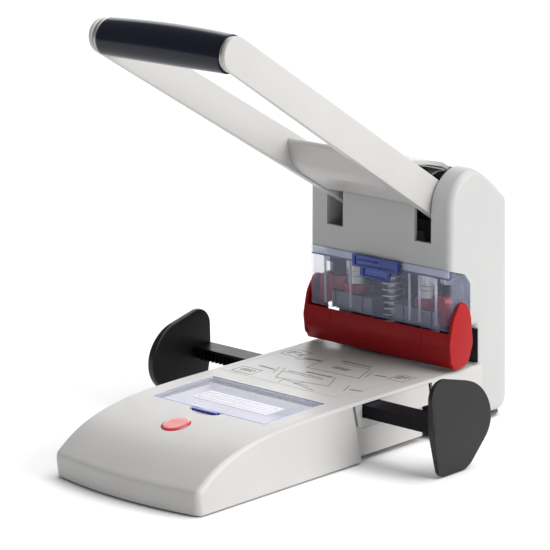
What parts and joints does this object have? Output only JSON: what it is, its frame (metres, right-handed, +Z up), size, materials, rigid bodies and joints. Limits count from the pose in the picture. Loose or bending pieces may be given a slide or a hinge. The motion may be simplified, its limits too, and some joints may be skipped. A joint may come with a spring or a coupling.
{
  "type": "hole punch",
  "caption": "Heavy-duty paper punch with a tall bail handle, clear window over the punching gear, red guard flap, wide table and sliding paper stops.",
  "frame": {"origin": "on the surface that the punch stands on, under the middle of the whole object's bounding box", "axes": "+Y from the table's nose towards the head's back, +X to the right of someone who faces the head, +Z up"},
  "size_m": [0.314, 0.3774, 0.3635],
  "materials": {
    "shell_plastic": "fine texture, warm light grey",
    "head_plastic": "fine texture, light grey",
    "guide_plastic": "satin black",
    "grip_plastic": "gloss dark navy",
    "ring_plastic": "satin silver",
    "flap_plastic": "satin red",
    "button_plastic": "gloss bright red",
    "lock_plastic": "satin red",
    "clear_plastic": "clear with a faint blue tint",
    "blue_plastic": "transparent blue",
    "steel": "turned and brushed",
    "spring_steel": "bright",
    "gear_plastic": "mid grey",
    "inner_plastic": "pale grey",
    "rubber": "matt black",
    "card": "printed card"
  },
  "bodies": {
    "base": {"base_shell": "shell_plastic", "base_plate": "steel", "button_post": "gear_plastic", "foot_front_left": "rubber", "foot_front_right": "rubber", "foot_rear_left": "rubber", "foot_rear_right": "rubber", "side_panel_left": "head_plastic", "side_panel_right": "head_plastic", "compartment_tray": "head_plastic", "rack_channel": "gear_plastic", "pinion_stud": "steel", "column_cover": "head_plastic", "top_cover": "head_plastic", "inner_backplate": "inner_plastic", "cheek_liner_right": "head_plastic", "cheek_liner_left": "head_plastic", "frame_plate_right": "steel", "frame_plate_left": "steel", "axle": "steel", "axle_clip_right": "spring_steel", "axle_clip_left": "spring_steel", "guide_post": "steel", "return_spring": "spring_steel", "button_spring": "spring_steel", "punch_guide": "gear_plastic", "die_block": "steel", "die_plate": "steel"},
    "handle": {"handle_arm_right": "shell_plastic", "handle_arm_left": "shell_plastic", "handle_hood": "shell_plastic", "handle_hub": "gear_plastic", "grip": "grip_plastic", "grip_ring_right": "ring_plastic", "grip_ring_left": "ring_plastic"},
    "right_link": {"drive_link_right": "steel"},
    "left_link": {"drive_link_left": "steel"},
    "punch_carriage": {"yoke": "gear_plastic", "punch_holder_right": "steel", "punch_holder_left": "steel", "punch_right": "steel", "punch_left": "steel"},
    "right_lock": {"punch_lock_right": "lock_plastic"},
    "left_lock": {"punch_lock_left": "lock_plastic"},
    "window": {"window": "clear_plastic"},
    "latch": {"window_latch": "blue_plastic"},
    "flap": {"guard_flap": "flap_plastic", "flap_buffer_right": "clear_plastic", "flap_buffer_left": "clear_plastic"},
    "lid": {"compartment_lid": "clear_plastic", "lid_tab": "blue_plastic", "label_card": "card"},
    "button": {"release_button": "button_plastic"},
    "right_guide": {"rack_bar_right": "guide_plastic", "stop_paddle_right": "guide_plastic"},
    "left_guide": {"rack_bar_left": "guide_plastic", "stop_paddle_left": "guide_plastic"},
    "pinion": {"pinion": "inner_plastic"},
    "chip_tray": {"chip_tray": "gear_plastic"}
  },
  "joints": [
    {"name": "handle_hinge", "type": "hinge", "parent": "base", "child": "handle", "pos_m": [0, 0.14875, 0.18], "axis": [1, 0, 0], "range_deg": [0, 38], "stiffness_Nm_per_rad": 2.4, "springref_deg": -28.65},
    {"name": "right_link_hinge", "type": "hinge", "parent": "handle", "child": "right_link", "pos_m": [0.027, 0.12511, 0.18814], "axis": [1, 0, 0], "range_deg": [-38.5, 0.5]},
    {"name": "left_link_hinge", "type": "hinge", "parent": "handle", "child": "left_link", "pos_m": [-0.027, 0.12511, 0.18814], "axis": [1, 0, 0], "range_deg": [-38.5, 0.5]},
    {"name": "punch_slide", "type": "slide", "parent": "base", "child": "punch_carriage", "axis": [0, 0, 1], "range_m": [-0.0164, 0], "deforming": ["return_spring"]},
    {"name": "right_lock_turn", "type": "hinge", "parent": "base", "child": "right_lock", "pos_m": [0.04, 0.13375, 0.1], "axis": [0, 0, 1], "range_deg": [0, 28]},
    {"name": "left_lock_turn", "type": "hinge", "parent": "base", "child": "left_lock", "pos_m": [-0.04, 0.13375, 0.1], "axis": [0, 0, -1], "range_deg": [0, 28]},
    {"name": "window_hinge", "type": "hinge", "parent": "base", "child": "window", "pos_m": [0, 0.11425, 0.0875], "axis": [1, 0, 0], "range_deg": [0, 22]},
    {"name": "latch_slide", "type": "slide", "parent": "window", "child": "latch", "axis": [0, 0, -1], "range_m": [0, 0.0025], "stiffness_N_per_m": 120, "springref_m": -0.001},
    {"name": "flap_hinge", "type": "hinge", "parent": "window", "child": "flap", "pos_m": [0, 0.12675, 0.098], "axis": [-1, 0, 0], "range_deg": [0, 60]},
    {"name": "lid_hinge", "type": "hinge", "parent": "base", "child": "lid", "pos_m": [0, -0.02365, 0.0478], "axis": [-1, 0, 0], "range_deg": [0, 95]},
    {"name": "button_press", "type": "slide", "parent": "base", "child": "button", "axis": [0, 0, -1], "range_m": [0, 0.003], "stiffness_N_per_m": 250, "springref_m": -0.002, "deforming": ["button_spring"]},
    {"name": "right_guide_slide", "type": "slide", "parent": "base", "child": "right_guide", "axis": [1, 0, 0], "range_m": [-0.064, 0.002]},
    {"name": "left_guide_slide", "type": "slide", "parent": "base", "child": "left_guide", "axis": [1, 0, 0], "range_m": [-0.0025, 0.0645]},
    {"name": "pinion_spin", "type": "hinge", "parent": "base", "child": "pinion", "pos_m": [0, 0.03475, 0.043], "axis": [0, 0, 1], "range_deg": [-370, 15]},
    {"name": "chip_tray_slide", "type": "slide", "parent": "base", "child": "chip_tray", "axis": [0, 1, 0], "range_m": [0, 0.06]}
  ],
  "couplings": [
    {"joint": "right_link_hinge", "follows": "handle_hinge", "ratio": -1},
    {"joint": "left_link_hinge", "follows": "handle_hinge", "ratio": -1},
    {"joint": "punch_slide", "follows": "handle_hinge", "m_per_rad": -0.024544},
    {"joint": "left_guide_slide", "follows": "right_guide_slide", "ratio": -1},
    {"joint": "pinion_spin", "follows": "right_guide_slide", "rad_per_m": 100}
  ]
}
